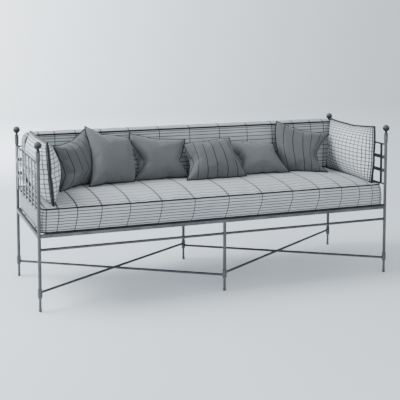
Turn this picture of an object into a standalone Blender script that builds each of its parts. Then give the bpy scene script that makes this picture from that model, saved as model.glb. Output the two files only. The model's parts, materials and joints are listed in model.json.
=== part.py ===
"""A long iron daybed: welded frame with turned ball finials, slat lattice, box cushions and loose pillows.

X runs along the length, Y from the front (negative) to the back and Z up. The origin is on the floor under
the middle of the frame. Everything is in metres.
"""

import math

import bmesh
import bpy
from mathutils import Matrix, Vector

# Driving dimensions of the frame
POST_X = 1.054  # centre of the end posts, from the middle
POST_Y = 0.353  # centre of the front and back posts, from the middle
POST_RADIUS = 0.0095
BALL_RADIUS = 0.021
BALL_Z = 0.890
GAP = 0.0003  # between pieces that touch or are welded
ROUND_SIDES = 16

# Heights of the rails
SEAT_RAIL_TOP = 0.417
SEAT_RAIL_SIDE = 0.020
LOWER_RAIL_Z = 0.333
LOWER_RAIL_RADIUS = 0.0078
GUARD_BOTTOM_Z = 0.546
GUARD_TOP_Z = 0.790
GUARD_RADIUS = 0.0055

# Feet, leg collars, stretchers and finials
FOOT_RADIUS = 0.0087
SPINDLE_RADIUS = 0.0070
FOOT_FLARE_TOP = 0.019
POST_BOTTOM = 0.0725
COLLAR_TOP = 0.1245
COLLAR_RADIUS = 0.0125
BORE_RADIUS = POST_RADIUS + GAP
UPPER_STRETCHER_Z = 0.105
LOWER_STRETCHER_Z = 0.0925
STRETCHER_RADIUS = 0.006
SLEEVE_BOTTOM = 0.803
SLEEVE_TOP = 0.855
FINIAL_RING_TOP = 0.862
FINIAL_NECK_RADIUS = 0.008

# Flat slats of the lattice and of the seat deck
SLAT_WIDTH = 0.024
SLAT_THICK = 0.004
SLAT_PITCH = 0.0975
SLAT_WELD = 0.001  # how deep the crossing bars sink into each other
CROSS_BAR_WIDTH = 0.022
CROSS_BAR_HEIGHTS = (0.627, 0.709)
DECK_THICK = 0.003
DECK_RUNNER_Y = 0.17

# Box cushions
SEAT_X = 1.033
SEAT_Y = 0.343
SEAT_BOTTOM = 0.4178
SEAT_EDGE_Z = 0.545
SEAT_CROWN = 0.033
BACK_FRONT_Y = 0.230
BACK_REAR_Y = 0.343
BACK_BOTTOM = 0.5665
BACK_TOP = 0.888
CUSHION_GAP = 0.002

# Loose pillows: corners top left, top right, bottom right and bottom left as seen from the front, where a
# bottom corner's height is the seat's own; then how far the left, right, top and bottom seams pull in, as
# part of the half width. The left arm cushion is seen from the middle of the seat, so its left is the front.
PILLOWS = {
    "throw_pillow_1": (
        ((-0.900, 0.020, 0.830), (-0.680, 0.196, 0.902), (-0.655, 0.120), (-0.876, -0.048)),
        (0.14, 0.10, 0.16, 0.05),
    ),
    "throw_pillow_2": (
        ((-0.685, 0.155, 0.912), (-0.414, 0.175, 0.837), (-0.410, 0.070), (-0.700, 0.000)),
        (0.10, 0.10, 0.12, 0.05),
    ),
    "throw_pillow_3": (
        ((-0.406, 0.180, 0.857), (-0.048, 0.180, 0.806), (-0.050, 0.095), (-0.406, 0.085)),
        (0.45, 0.32, 0.12, 0.03),
    ),
    "throw_pillow_4": (
        ((-0.080, 0.120, 0.785), (0.225, 0.130, 0.808), (0.285, -0.010), (-0.110, -0.020)),
        (0.36, 0.12, 0.03, 0.03),
    ),
    "throw_pillow_5": (
        ((0.235, 0.200, 0.775), (0.530, 0.130, 0.757), (0.600, 0.030), (0.245, 0.050)),
        (0.36, 0.18, 0.00, 0.03),
    ),
    "throw_pillow_6": (
        ((0.575, 0.180, 0.893), (0.925, 0.120, 0.803), (0.840, -0.030), (0.575, 0.110)),
        (0.05, 0.55, 0.14, 0.03),
    ),
}
PILLOW_THICK = 0.125
PILLOW_CELLS = 8
ARM_CUSHIONS = {
    "arm_cushion_left": (
        ((-0.992, -0.290, 0.893), (-0.995, 0.210, 0.895), (-0.965, 0.212), (-0.965, -0.296)),
        (0.03, 0.03, 0.03, 0.00),
    ),
    "arm_cushion_right": (
        ((0.985, 0.210, 0.893), (1.012, -0.292, 0.893), (0.995, -0.292), (0.965, 0.212)),
        (0.03, 0.03, 0.03, 0.00),
    ),
}
ARM_CUSHION_THICK = 0.105
ARM_LATTICE_FACE = POST_X - POST_RADIUS  # the innermost face of an end of the frame


def clear_scene():
    for old in list(bpy.data.objects):
        bpy.data.objects.remove(old)


def new_collection(name):
    made = bpy.data.collections.new(name)
    bpy.context.scene.collection.children.link(made)
    return made


def make_material(name, colour, roughness, metallic):
    material = bpy.data.materials.new(name)
    material.use_nodes = True
    shader = material.node_tree.nodes["Principled BSDF"]
    shader.inputs["Base Color"].default_value = (*colour, 1.0)
    shader.inputs["Roughness"].default_value = roughness
    shader.inputs["Metallic"].default_value = metallic
    return material


clear_scene()
DAYBED = new_collection("daybed")
CUTTERS = new_collection("cutters")
FRAME_METAL = make_material("frame_metal", (0.16, 0.165, 0.17), 0.5, 0.6)
FINIAL_METAL = make_material("finial_metal", (0.07, 0.075, 0.08), 0.4, 0.7)
CUSHION_FABRIC = make_material("cushion_fabric", (0.55, 0.56, 0.57), 0.9, 0.0)
ARM_FABRIC = make_material("arm_fabric", (0.62, 0.63, 0.64), 0.9, 0.0)
PILLOW_PLAIN = make_material("pillow_plain", (0.14, 0.15, 0.16), 0.9, 0.0)
PILLOW_STRIPE = make_material("pillow_stripe", (0.16, 0.17, 0.18), 0.9, 0.0)


def add_part(name, mesh, material):
    """A part's own object, made from a finished mesh."""
    part = bpy.data.objects.new(name, mesh)
    mesh.materials.append(material)
    DAYBED.objects.link(part)
    return part


def mesh_from(shape, name):
    mesh = bpy.data.meshes.new(name)
    shape.to_mesh(mesh)
    shape.free()
    return mesh


def add_boxes(shape, boxes):
    """Adds a closed block for each pair of lowest and highest corners."""
    for low, high in boxes:
        low, high = Vector(low), Vector(high)
        place = Matrix.Translation((low + high) / 2)
        size = Matrix.Diagonal((*(high - low), 1.0))
        bmesh.ops.create_cube(shape, size=1.0, matrix=place @ size)


def make_bar(name, low, high, material, edge=0.0015):
    """A square bar with softened edges."""
    shape = bmesh.new()
    add_boxes(shape, [(low, high)])
    bar = add_part(name, mesh_from(shape, name), material)
    bevel = bar.modifiers.new("softened edges", "BEVEL")
    bevel.width = edge
    bevel.segments = 1
    return bar


def make_rod(name, start, end, radius, material):
    """A straight round rod between two points, with flat ends."""
    start, end = Vector(start), Vector(end)
    along = end - start
    turn = along.to_track_quat("Z", "Y").to_matrix().to_4x4()
    shape = bmesh.new()
    bmesh.ops.create_cone(
        shape,
        cap_ends=True,
        segments=ROUND_SIDES,
        radius1=radius,
        radius2=radius,
        depth=along.length,
        matrix=Matrix.Translation((start + end) / 2) @ turn,
    )
    mesh = mesh_from(shape, name)
    mesh.shade_smooth()
    mesh.set_sharp_from_angle(angle=math.radians(40))
    return add_part(name, mesh, material)


def make_turned(name, profile, place, material, closed=False):
    """A turned piece from an outline of (radius, height) points that runs down its outer side."""
    shape = bmesh.new()
    points = [shape.verts.new((radius, 0, height)) for radius, height in profile]
    for first, second in zip(points, points[1:]):
        shape.edges.new((first, second))
    if closed:
        shape.edges.new((points[-1], points[0]))
    part = add_part(name, mesh_from(shape, name), material)
    part.location = place
    screw = part.modifiers.new("turned", "SCREW")
    screw.steps = ROUND_SIDES
    screw.render_steps = ROUND_SIDES
    screw.use_merge_vertices = True
    screw.merge_threshold = 0.00001
    screw.use_smooth_shade = True
    return part


def collar_profile():
    taper_top = POST_BOTTOM + COLLAR_RADIUS
    outer = [(COLLAR_RADIUS, COLLAR_TOP), (COLLAR_RADIUS, taper_top), (BORE_RADIUS + 0.0006, POST_BOTTOM)]
    return outer + [(BORE_RADIUS, POST_BOTTOM), (BORE_RADIUS, COLLAR_TOP)]


def sleeve_profile():
    shoulder = COLLAR_RADIUS - BORE_RADIUS
    outer = [(COLLAR_RADIUS, SLEEVE_TOP - GAP), (COLLAR_RADIUS, SLEEVE_BOTTOM + 2 * shoulder)]
    outer.append((BORE_RADIUS + 0.6 * shoulder, SLEEVE_BOTTOM))
    return outer + [(BORE_RADIUS, SLEEVE_BOTTOM), (BORE_RADIUS, SLEEVE_TOP - GAP)]


def foot_profile():
    top = POST_BOTTOM - GAP
    outer = [(0, top), (SPINDLE_RADIUS, top), (SPINDLE_RADIUS, FOOT_FLARE_TOP + 0.005)]
    outer += [(FOOT_RADIUS, FOOT_FLARE_TOP - 0.004), (FOOT_RADIUS, 0.003), (FOOT_RADIUS - 0.001, 0), (0, 0)]
    return outer


def finial_profile():
    """Down the outer side: the ball, its neck and the ring that it stands on."""
    neck_angle = math.pi - math.asin(FINIAL_NECK_RADIUS / BALL_RADIUS)
    arcs = 8
    ball = []
    for step in range(arcs + 1):
        angle = neck_angle * step / arcs
        ball.append((BALL_RADIUS * math.sin(angle), BALL_Z + BALL_RADIUS * math.cos(angle)))
    ball[0] = (0, BALL_Z + BALL_RADIUS)
    ring = [(FINIAL_NECK_RADIUS, FINIAL_RING_TOP), (COLLAR_RADIUS - 0.0005, FINIAL_RING_TOP)]
    return ball + ring + [(COLLAR_RADIUS - 0.0005, SLEEVE_TOP), (0, SLEEVE_TOP)]


def make_legs():
    """The six legs: four corner posts with their finials, and two middle legs under the seat rails."""
    ends = {"left": -POST_X, "right": POST_X}
    rows = {"front": -POST_Y, "back": POST_Y}
    for row, y in rows.items():
        for end, x in ends.items():
            corner = f"{row}_{end}"
            top = SLEEVE_TOP - GAP
            make_rod(f"corner_post_{corner}", (x, y, POST_BOTTOM), (x, y, top), POST_RADIUS, FRAME_METAL)
            make_turned(f"finial_sleeve_{corner}", sleeve_profile(), (x, y, 0), FRAME_METAL, closed=True)
            make_turned(f"finial_ball_{corner}", finial_profile(), (x, y, 0), FINIAL_METAL)
        under_rail = SEAT_RAIL_TOP - SEAT_RAIL_SIDE - GAP
        make_rod(f"middle_leg_{row}", (0, y, POST_BOTTOM), (0, y, under_rail), POST_RADIUS, FRAME_METAL)
        for place, x in {**ends, "middle": 0.0}.items():
            make_turned(f"leg_collar_{row}_{place}", collar_profile(), (x, y, 0), FRAME_METAL, closed=True)
            make_turned(f"foot_{row}_{place}", foot_profile(), (x, y, 0), FRAME_METAL)


def make_seat_rails():
    """Square rails round the seat, and the round lower rail along the front in two halves."""
    low = SEAT_RAIL_TOP - SEAT_RAIL_SIDE
    half = SEAT_RAIL_SIDE / 2
    long_end = POST_X - POST_RADIUS - GAP
    short_end = POST_Y - POST_RADIUS - GAP
    for name, y in {"front": -POST_Y, "back": POST_Y}.items():
        ends = (-long_end, y - half, low), (long_end, y + half, SEAT_RAIL_TOP)
        make_bar(f"seat_rail_{name}", *ends, FRAME_METAL)
    for name, x in {"left": -POST_X, "right": POST_X}.items():
        ends = (x - half, -short_end, low), (x + half, short_end, SEAT_RAIL_TOP)
        make_bar(f"seat_rail_{name}", *ends, FRAME_METAL)
    for name, side in {"left": -1, "right": 1}.items():
        inner = (side * (POST_RADIUS + GAP), -POST_Y, LOWER_RAIL_Z)
        outer = (side * long_end, -POST_Y, LOWER_RAIL_Z)
        make_rod(f"front_lower_rail_{name}", inner, outer, LOWER_RAIL_RADIUS, FRAME_METAL)


def make_stretchers():
    """Four rods low between the leg collars, crossing as two long saltires seen from above."""
    runs = {
        "stretcher_front_left_to_back_middle": ((-POST_X, -POST_Y), (0, POST_Y), UPPER_STRETCHER_Z),
        "stretcher_front_middle_to_back_right": ((0, -POST_Y), (POST_X, POST_Y), UPPER_STRETCHER_Z),
        "stretcher_back_left_to_front_middle": ((-POST_X, POST_Y), (0, -POST_Y), LOWER_STRETCHER_Z),
        "stretcher_back_middle_to_front_right": ((0, POST_Y), (POST_X, -POST_Y), LOWER_STRETCHER_Z),
    }
    for name, (first, second, height) in runs.items():
        start, end = Vector((*first, height)), Vector((*second, height))
        trim = (end - start).normalized() * (COLLAR_RADIUS + GAP)
        make_rod(name, start + trim, end - trim, STRETCHER_RADIUS, FRAME_METAL)


def make_guard_rails():
    """The thin round rails that carry the lattice, at both ends and along the back."""
    long_end = POST_X - POST_RADIUS - GAP
    short_end = POST_Y - POST_RADIUS - GAP
    for level, height in {"bottom": GUARD_BOTTOM_Z, "top": GUARD_TOP_Z}.items():
        for end, x in {"left": -POST_X, "right": POST_X}.items():
            ends = (x, -short_end, height), (x, short_end, height)
            make_rod(f"arm_{level}_rail_{end}", *ends, GUARD_RADIUS, FRAME_METAL)
        ends = (-long_end, POST_Y, height), (long_end, POST_Y, height)
        make_rod(f"back_{level}_rail", *ends, GUARD_RADIUS, FRAME_METAL)


def weld_bars(name, bars, crossing_bars, turn=Matrix.Identity(4)):
    """One welded body: a row of bars, joined to the bars that cross them."""
    meshes = []
    for boxes in (bars, crossing_bars):
        shape = bmesh.new()
        add_boxes(shape, boxes)
        shape.transform(turn)
        meshes.append(mesh_from(shape, name))
    crossing = bpy.data.objects.new(name + "_crossing", meshes[1])
    crossing.hide_render = True
    crossing.display_type = "WIRE"
    CUTTERS.objects.link(crossing)
    part = add_part(name, meshes[0], FRAME_METAL)
    weld = part.modifiers.new("weld", "BOOLEAN")
    weld.operation = "UNION"
    weld.object = crossing
    return part


def lattice_boxes(half_length, slats_each_side):
    """Upright slats on the outer side of the rails and level bars inside them, drawn along X and facing +Y."""
    outer = GUARD_RADIUS + GAP
    upright = []
    for number in range(-slats_each_side, slats_each_side + 1):
        x = number * SLAT_PITCH
        low = (x - SLAT_WIDTH / 2, outer, GUARD_BOTTOM_Z - GUARD_RADIUS / 2)
        upright.append((low, (x + SLAT_WIDTH / 2, outer + SLAT_THICK, GUARD_TOP_Z + GUARD_RADIUS / 2)))
    inner_face = outer + SLAT_WELD - SLAT_THICK
    level = []
    for height in CROSS_BAR_HEIGHTS:
        low = (-half_length, inner_face, height - CROSS_BAR_WIDTH / 2)
        level.append((low, (half_length, outer + SLAT_WELD, height + CROSS_BAR_WIDTH / 2)))
    return upright, level


def make_lattices():
    arm = lattice_boxes(POST_Y - POST_RADIUS - GAP, 3)
    back = lattice_boxes(POST_X - POST_RADIUS - GAP, 10)
    weld_bars("back_lattice", *back, Matrix.Translation((0, POST_Y, 0)))
    for end, side in {"left": 1, "right": -1}.items():
        turn = Matrix.Rotation(side * math.pi / 2, 4, "Z")
        weld_bars(f"arm_lattice_{end}", *arm, Matrix.Translation((-side * POST_X, 0, 0)) @ turn)


def make_seat_deck():
    """The slatted deck that the seat cushion lies on, and the beam across the middle that carries it."""
    inner_x = POST_X - SEAT_RAIL_SIDE / 2 - GAP
    inner_y = POST_Y - SEAT_RAIL_SIDE / 2 - GAP
    top = SEAT_RAIL_TOP - GAP
    slats = []
    for number in range(-10, 11):
        x = number * SLAT_PITCH
        low = (x - SLAT_WIDTH / 2, -inner_y, top - DECK_THICK)
        slats.append((low, (x + SLAT_WIDTH / 2, inner_y, top)))
    runner_top = top - DECK_THICK + SLAT_WELD
    runner_low = runner_top - SLAT_THICK
    runners = []
    for y in (-DECK_RUNNER_Y, DECK_RUNNER_Y):
        low = (-inner_x, y - SLAT_WIDTH / 2, runner_low)
        runners.append((low, (inner_x, y + SLAT_WIDTH / 2, runner_top)))
    weld_bars("seat_deck", slats, runners)
    beam_top = runner_low - GAP
    half = SEAT_RAIL_SIDE / 2
    ends = (-half, -inner_y, beam_top - SEAT_RAIL_SIDE), (half, inner_y, beam_top)
    make_bar("seat_cross_beam", *ends, FRAME_METAL)


def seat_top(x, y):
    """Height of the seat cushion's crowned top, which falls to its edge seam all round."""
    across = max(0.0, 1 - (y / SEAT_Y) ** 2)
    along = max(0.0, 1 - abs(x / SEAT_X) ** 6)
    return SEAT_EDGE_Z + SEAT_CROWN * across * along


def sliced_block(low, high, cuts):
    """A closed block whose sides are cut into cells at equal steps along X, Y and Z."""
    shape = bmesh.new()
    add_boxes(shape, [(low, high)])
    for axis, count in enumerate(cuts):
        for number in range(1, count):
            place = Vector(low)
            place[axis] += (high[axis] - low[axis]) * number / count
            normal = Vector((0, 0, 0))
            normal[axis] = 1
            everything = shape.verts[:] + shape.edges[:] + shape.faces[:]
            bmesh.ops.bisect_plane(shape, geom=everything, plane_co=place, plane_no=normal)
    return shape


def smoothed(mesh, angle=35):
    mesh.shade_smooth()
    mesh.set_sharp_from_angle(angle=math.radians(angle))
    return mesh


def make_seat_cushion():
    """A box cushion with a crowned top and full sides, fullest at the front, tucked in over the rails."""
    shape = sliced_block((-SEAT_X, -SEAT_Y, SEAT_BOTTOM), (SEAT_X, SEAT_Y, SEAT_EDGE_Z), (16, 8, 3))
    swell = (-0.010, 0.010, 0.022, 0.0)  # of the front at the four levels, from the bottom up
    height = SEAT_EDGE_Z - SEAT_BOTTOM
    for vert in shape.verts:
        x, y, z = vert.co
        level = round(3 * (z - SEAT_BOTTOM) / height)
        near_corner = min(1.0, (SEAT_X - abs(x)) / 0.05)
        full = swell[level] * (near_corner if swell[level] > 0 else 1)
        if y < -SEAT_Y + 1e-6:
            vert.co.y -= full
        if y > SEAT_Y - 1e-6:
            vert.co.y += 0.25 * full
        if abs(x) > SEAT_X - 1e-6:
            vert.co.x += math.copysign(0.35 * swell[level], x)
        if level == 3:
            vert.co.z = seat_top(x, y)
    add_part("seat_cushion", smoothed(mesh_from(shape, "seat_cushion")), CUSHION_FABRIC)


def make_back_cushion():
    """A long box cushion that stands on the seat, with rounded upper corners and a slightly full face."""
    low = (-SEAT_X, BACK_FRONT_Y, BACK_BOTTOM)
    high = (SEAT_X, BACK_REAR_Y, BACK_TOP)
    shape = sliced_block(low, high, (16, 2, 4))
    middle_z = (BACK_BOTTOM + BACK_TOP) / 2
    for vert in shape.verts:
        x, y, z = vert.co
        rim = max(abs(x) / SEAT_X, 2 * abs(z - middle_z) / (BACK_TOP - BACK_BOTTOM))
        if y < BACK_FRONT_Y + 1e-6:
            vert.co.y += 0.006 * rim**4
        if abs(x) > SEAT_X - 1e-6 and z > BACK_TOP - 1e-6:
            vert.co.x -= math.copysign(0.015, x)
            vert.co.z -= 0.010
    add_part("back_cushion", smoothed(mesh_from(shape, "back_cushion")), CUSHION_FABRIC)


def pillow_point(corners, pulls, u, v):
    """A point of the pillow's middle surface, for u from left to right and v from bottom to top, -1 to 1."""
    left, right, top, bottom = pulls
    pull = right if u > 0 else left
    across = u * (1 - pull * (1 - abs(v) ** (1.2 if pull > 0.25 else 2)))
    up = v * (1 - (top if v > 0 else bottom) * (1 - u * u))
    top_left, top_right, bottom_right, bottom_left = corners
    upper = top_left.lerp(top_right, (1 + across) / 2)
    lower = bottom_left.lerp(bottom_right, (1 + across) / 2)
    return lower.lerp(upper, (1 + up) / 2)


def split_ear_cells(grid_verts):
    """Splits each corner cell from its corner inwards, so that both faces of a pillow part all the way to the ear."""
    for vert in grid_verts:
        if min(abs(vert.co.x), abs(vert.co.y)) > 0.999:
            cell = vert.link_faces[0]
            round_cell = list(cell.verts)
            bmesh.utils.face_split(cell, vert, round_cell[round_cell.index(vert) - 2])


def make_pillow(name, corners, pulls, thick, plumpness, material):
    """A knife-edge pillow: two quilted faces that meet in a seam, pressed flat against what it leans on."""
    placed = [Vector(corner) for corner in corners[:2]]
    for x, y in corners[2:]:
        placed.append(Vector((x, y, seat_top(x, y) + CUSHION_GAP)))
    top_left, top_right, bottom_right, bottom_left = placed
    forward = (top_right - bottom_left).cross(top_left - bottom_right).normalized()
    shape = bmesh.new()
    for side in (1, -1):
        made = bmesh.ops.create_grid(shape, x_segments=PILLOW_CELLS, y_segments=PILLOW_CELLS, size=1.0)
        split_ear_cells(made["verts"])
        for vert in made["verts"]:
            u, v, _ = vert.co
            full = max(0.0, (1 - abs(u) ** plumpness) * (1 - abs(v) ** plumpness)) ** 0.5
            vert.co = pillow_point(placed, pulls, u, v) + forward * (side * full * thick / 2)
        if side < 0:
            faces = list({face for vert in made["verts"] for face in vert.link_faces})
            bmesh.ops.reverse_faces(shape, faces=faces)
    bmesh.ops.remove_doubles(shape, verts=shape.verts[:], dist=0.00001)
    limit = ARM_LATTICE_FACE - CUSHION_GAP
    for vert in shape.verts:
        vert.co.x = max(-limit, min(limit, vert.co.x))
        vert.co.y = min(BACK_FRONT_Y - CUSHION_GAP, vert.co.y)
        vert.co.z = max(seat_top(vert.co.x, vert.co.y) + CUSHION_GAP, vert.co.z)
    add_part(name, smoothed(mesh_from(shape, name), 60), material)


def make_soft_parts():
    make_seat_cushion()
    make_back_cushion()
    for name, (corners, pulls) in ARM_CUSHIONS.items():
        make_pillow(name, corners, pulls, ARM_CUSHION_THICK, 4, ARM_FABRIC)
    for number, (name, (corners, pulls)) in enumerate(PILLOWS.items()):
        striped = number in (0, 3, 5)
        make_pillow(name, corners, pulls, PILLOW_THICK, 2, PILLOW_STRIPE if striped else PILLOW_PLAIN)


make_legs()
make_seat_rails()
make_stretchers()
make_guard_rails()
make_lattices()
make_seat_deck()
make_soft_parts()
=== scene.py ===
# %% [markdown]
# # A long iron daybed, dressed in Blender
#
# This lesson dresses a daybed: a welded metal frame with ball finials and a slat lattice, a deep seat
# cushion, a back cushion, two arm cushions and six loose pillows. The frame comes first as a fixed model
# with the right sizes, and everything after this cell adds the surface that the eye sees.

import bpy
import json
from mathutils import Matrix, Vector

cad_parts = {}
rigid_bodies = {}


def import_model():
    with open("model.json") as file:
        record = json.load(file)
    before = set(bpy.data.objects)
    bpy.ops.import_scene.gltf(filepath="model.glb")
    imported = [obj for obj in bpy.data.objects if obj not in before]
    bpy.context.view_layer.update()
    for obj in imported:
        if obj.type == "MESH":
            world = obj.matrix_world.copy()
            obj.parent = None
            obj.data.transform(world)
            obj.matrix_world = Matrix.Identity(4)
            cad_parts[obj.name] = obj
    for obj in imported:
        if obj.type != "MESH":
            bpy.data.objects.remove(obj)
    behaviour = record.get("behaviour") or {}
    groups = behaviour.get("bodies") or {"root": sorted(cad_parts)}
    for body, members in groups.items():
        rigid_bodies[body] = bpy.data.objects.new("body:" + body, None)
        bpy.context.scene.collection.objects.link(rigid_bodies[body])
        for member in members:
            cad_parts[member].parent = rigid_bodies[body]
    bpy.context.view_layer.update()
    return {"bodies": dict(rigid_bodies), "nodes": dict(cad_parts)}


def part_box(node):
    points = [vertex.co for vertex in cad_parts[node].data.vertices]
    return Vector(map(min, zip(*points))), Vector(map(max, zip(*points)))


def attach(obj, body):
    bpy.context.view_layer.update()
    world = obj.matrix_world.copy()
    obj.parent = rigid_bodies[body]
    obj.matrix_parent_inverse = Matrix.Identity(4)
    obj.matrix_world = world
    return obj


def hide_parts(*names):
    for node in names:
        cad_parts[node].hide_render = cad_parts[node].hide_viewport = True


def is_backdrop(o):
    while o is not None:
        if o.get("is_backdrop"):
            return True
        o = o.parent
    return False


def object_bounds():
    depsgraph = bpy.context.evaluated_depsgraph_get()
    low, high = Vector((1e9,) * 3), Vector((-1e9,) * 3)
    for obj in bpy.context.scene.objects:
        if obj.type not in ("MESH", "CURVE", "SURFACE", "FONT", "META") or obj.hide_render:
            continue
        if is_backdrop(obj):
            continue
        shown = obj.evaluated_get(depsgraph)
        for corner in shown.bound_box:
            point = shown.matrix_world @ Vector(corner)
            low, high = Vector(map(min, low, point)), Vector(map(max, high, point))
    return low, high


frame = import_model()

# %% Modules, and an empty stage
import json
import math

import bmesh
import bpy
import numpy as np
from mathutils import Matrix, Vector
from mathutils.bvhtree import BVHTree

kept = set(frame["nodes"].values()) | set(frame["bodies"].values())
for extra in set(bpy.data.objects) - kept:
    bpy.data.objects.remove(extra)
print("objects kept:", len(kept))

# %% [markdown]
# ## Measures that the frame gives
#
# A dressing that follows the frame never needs a guess: the rails, posts and soft blocks are already there,
# so their boxes are read and named here once. Only what a box can't tell, such as how high the seat is
# crowned above its seam, is written down as a number.

# %% Read the places of the posts, rails and cushions
def middle(node):
    low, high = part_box(node)
    return (low + high) / 2


def span(node):
    low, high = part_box(node)
    return high - low


POST_X = middle("corner_post_front_right").x
POST_Y = middle("corner_post_back_right").y
POST_RADIUS = span("corner_post_front_right").x / 2
SEAT_LOW, SEAT_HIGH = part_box("seat_cushion")
BACK_LOW, BACK_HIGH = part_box("back_cushion")
SEAT_CROWN = 0.033
SEAT_EDGE = SEAT_HIGH.z - SEAT_CROWN
SEAT_X = BACK_HIGH.x
SEAT_Y = BACK_HIGH.y
print("posts at", POST_X, POST_Y, "seat seam at", SEAT_EDGE)

# %% [markdown]
# ## Camera, floor and light
#
# The eye stands a little left of the middle, about chair-back high, with a long lens, so the far end of the
# frame hardly shrinks. The lens is shifted down instead of tilting the camera further, which keeps the
# posts upright. A pale sweep stands in for a studio floor and wall. One large soft light comes from high on
# the left. A low one fills the left end, a wide one in front lifts the cushions, and two washes light the
# sweep behind. The pale world fills the rest.

# %% Camera
camera_data = bpy.data.cameras.new("camera")
camera_data.lens = 79.03
camera_data.sensor_width = 36
camera_data.shift_y = -0.259
camera = bpy.data.objects.new("camera", camera_data)
camera.location = (-1.857, -4.901, 1.545)
camera.rotation_euler = (math.radians(85), 0, math.radians(-20.573))
bpy.context.scene.collection.objects.link(camera)
bpy.context.scene.camera = camera
print("camera at", camera.location[:])


# %% Pale sweep, world and lights
def make_sweep():
    """A floor that turns up into a wall behind, as one smooth sheet."""
    shape = bmesh.new()
    radius, wall, half_width, front, back = 3.0, 7.0, 16.0, -12.0, 9.0
    outline = [(front, 0.0), (back, 0.0)]
    for step in range(1, 13):
        angle = math.pi / 2 * step / 12
        outline.append((back + radius * math.sin(angle), radius * (1 - math.cos(angle))))
    outline.append((back + radius, wall))
    rows = [[shape.verts.new((x, y, z)) for y, z in outline] for x in (-half_width, half_width)]
    for left, right in zip(zip(rows[0], rows[0][1:]), zip(rows[1], rows[1][1:])):
        shape.faces.new((left[0], right[0], right[1], left[1]))
    mesh = bpy.data.meshes.new("studio_sweep")
    shape.to_mesh(mesh)
    shape.free()
    mesh.shade_smooth()
    sweep = bpy.data.objects.new("studio_sweep", mesh)
    bpy.context.scene.collection.objects.link(sweep)
    material = bpy.data.materials.new("studio_paper")
    material.use_nodes = True
    shader = material.node_tree.nodes["Principled BSDF"]
    shader.inputs["Base Color"].default_value = (0.685, 0.72, 0.75, 1)
    shader.inputs["Roughness"].default_value = 0.9
    mesh.materials.append(material)
    sweep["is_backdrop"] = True


def make_light(name, place, target, size, power):
    """A square soft light that faces the target."""
    data = bpy.data.lights.new(name, "AREA")
    data.size = size
    data.energy = power
    data.color = (0.92, 0.96, 1.0)
    light = bpy.data.objects.new(name, data)
    light.location = place
    light.rotation_euler = (Vector(target) - Vector(place)).to_track_quat("-Z", "Y").to_euler()
    bpy.context.scene.collection.objects.link(light)


make_sweep()
make_light("key", (-3.4, 0.9, 3.9), (0.0, 0, 0.4), 3.0, 430)
make_light("side_fill", (-6.0, -1.2, 1.1), (0.0, 0, 0.5), 2.0, 150)
make_light("front_fill", (0.0, -6.0, 3.2), (0, 0, 0.5), 4.0, 215)
make_light("wall_wash", (-7.0, 5.0, 3.2), (-2.5, 12.0, 2.2), 3.0, 3000)
make_light("low_wash", (-3.0, 5.0, 2.6), (-1.5, 10.0, 0.0), 3.0, 650)
world = bpy.data.worlds.new("studio")
world.use_nodes = True
world.node_tree.nodes["Background"].inputs["Color"].default_value = (0.90, 0.95, 1.0, 1)
world.node_tree.nodes["Background"].inputs["Strength"].default_value = 0.80
bpy.context.scene.world = world
print("lights:", len(bpy.data.lights))

# %% [markdown]
# ## Tools for shapes
#
# A real frame is cut from round tube, square tube and flat strip, and the ball tops are turned. So three
# small makers are enough: one lofts rings of points along a line, one makes a bevelled bar, and one makes a
# fine tube along any path, which later serves as piping. Every piece keeps its points in the frame's own
# coordinates, so a pattern can be laid on it in metres.


# %% Makers for meshes, turned pieces, bars and tubes
def make_mesh(name, points, faces, smooth_angle=40):
    """An object from points and faces, shaded smooth except over sharper edges."""
    mesh = bpy.data.meshes.new(name)
    mesh.from_pydata([tuple(point) for point in points], [], faces)
    mesh.shade_smooth()
    mesh.set_sharp_from_angle(angle=math.radians(smooth_angle))
    piece = bpy.data.objects.new(name, mesh)
    bpy.context.scene.collection.objects.link(piece)
    return piece


def loft_faces(rings, sides, looped):
    """Faces between neighbouring rings, and caps where the loft doesn't close on itself."""
    faces = []
    for number in range(rings if looped else rings - 1):
        first = number * sides
        second = (number + 1) % rings * sides
        for side in range(sides):
            after = (side + 1) % sides
            faces.append((first + side, first + after, second + after, second + side))
    if not looped:
        faces.append(tuple(reversed(range(sides))))
        faces.append(tuple(range((rings - 1) * sides, rings * sides)))
    return faces


def supported(profile):
    """The profile with a ring close to both ends of each long run, so that the run is shaded straight."""
    outline = [profile[0]]
    for (before, first), (after, second) in zip(profile, profile[1:]):
        if after - before > 0.006:
            share = 0.0008 / (after - before)
            for spot in (share, 1 - share):
                outline.append((before + spot * (after - before), first + spot * (second - first)))
        outline.append((after, second))
    return outline


def turned(name, start, end, profile, sides=36):
    """A round piece from start towards end, whose profile gives (distance, radius) in order."""
    profile = supported(profile)
    start = Vector(start)
    along = (Vector(end) - start).normalized()
    across = along.orthogonal().normalized()
    other = along.cross(across)
    points = []
    for distance, radius in profile:
        for side in range(sides):
            angle = 2 * math.pi * side / sides
            spoke = across * math.cos(angle) + other * math.sin(angle)
            points.append(start + along * distance + spoke * max(radius, 0.00001))
    return make_mesh(name, points, loft_faces(len(profile), sides, False), 50)


def bar(name, low, high, edge=0.0022):
    """A square tube as a block with rounded edges."""
    shape = bmesh.new()
    size = Vector(high) - Vector(low)
    place = Matrix.Translation((Vector(low) + Vector(high)) / 2)
    bmesh.ops.create_cube(shape, size=1.0, matrix=place @ Matrix.Diagonal((*size, 1.0)))
    bmesh.ops.bevel(shape, geom=shape.edges[:], offset=edge, segments=3, affect="EDGES", profile=0.5)
    mesh = bpy.data.meshes.new(name)
    shape.to_mesh(mesh)
    shape.free()
    mesh.shade_smooth()
    mesh.set_sharp_from_angle(angle=math.radians(50))
    piece = bpy.data.objects.new(name, mesh)
    bpy.context.scene.collection.objects.link(piece)
    return piece


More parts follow.
